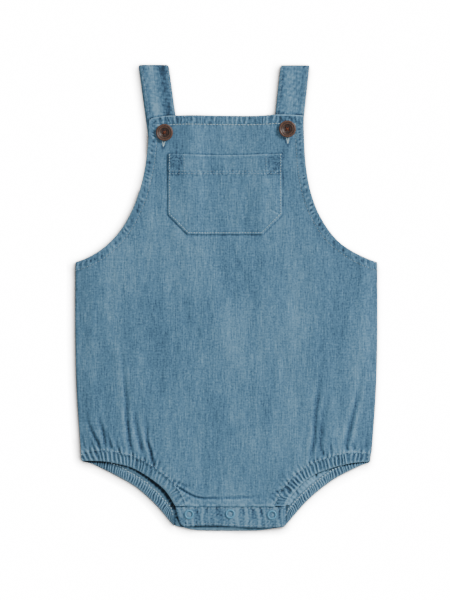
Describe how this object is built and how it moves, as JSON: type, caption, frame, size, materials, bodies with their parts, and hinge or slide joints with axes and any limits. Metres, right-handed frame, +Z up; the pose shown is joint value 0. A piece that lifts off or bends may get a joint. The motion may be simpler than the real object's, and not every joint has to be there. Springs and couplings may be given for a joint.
{
  "type": "baby's bib overalls laid flat",
  "caption": "Denim bib overalls for a baby, laid flat, with bubble legs, a chest pocket, buttoned straps and a press-stud crotch.",
  "frame": {"origin": "centre of the garment's length and width, on the surface that it lies on", "axes": "+X across the garment towards its right as seen from above, +Y from the crotch towards the shoulder folds, +Z up"},
  "size_m": [0.271, 0.4184, 0.0079],
  "materials": {
    "denim": "washed light blue denim with vertical slubs",
    "denim_placket": "washed blue denim in two layers",
    "coconut": "polished brown coconut shell",
    "stud_enamel": "blue enamelled ring"
  },
  "bodies": {
    "root": {"front_panel": "denim", "bib_hem": "denim", "front_armhole_hem_left": "denim", "front_armhole_hem_right": "denim", "chest_pocket": "denim", "front_leg_casing_left": "denim", "front_leg_casing_right": "denim", "front_placket": "denim_placket", "press_stud_ring_left": "stud_enamel", "press_stud_ring_middle": "stud_enamel", "press_stud_ring_right": "stud_enamel", "press_stud_socket_left": "stud_enamel", "press_stud_socket_middle": "stud_enamel", "press_stud_socket_right": "stud_enamel", "strap_left": "denim", "strap_right": "denim", "button_left": "coconut", "button_right": "coconut", "back_panel": "denim", "back_top_hem": "denim", "back_armhole_hem_left": "denim", "back_armhole_hem_right": "denim", "back_leg_casing_left": "denim", "back_leg_casing_right": "denim", "back_placket": "denim_placket"}
  },
  "joints": []
}
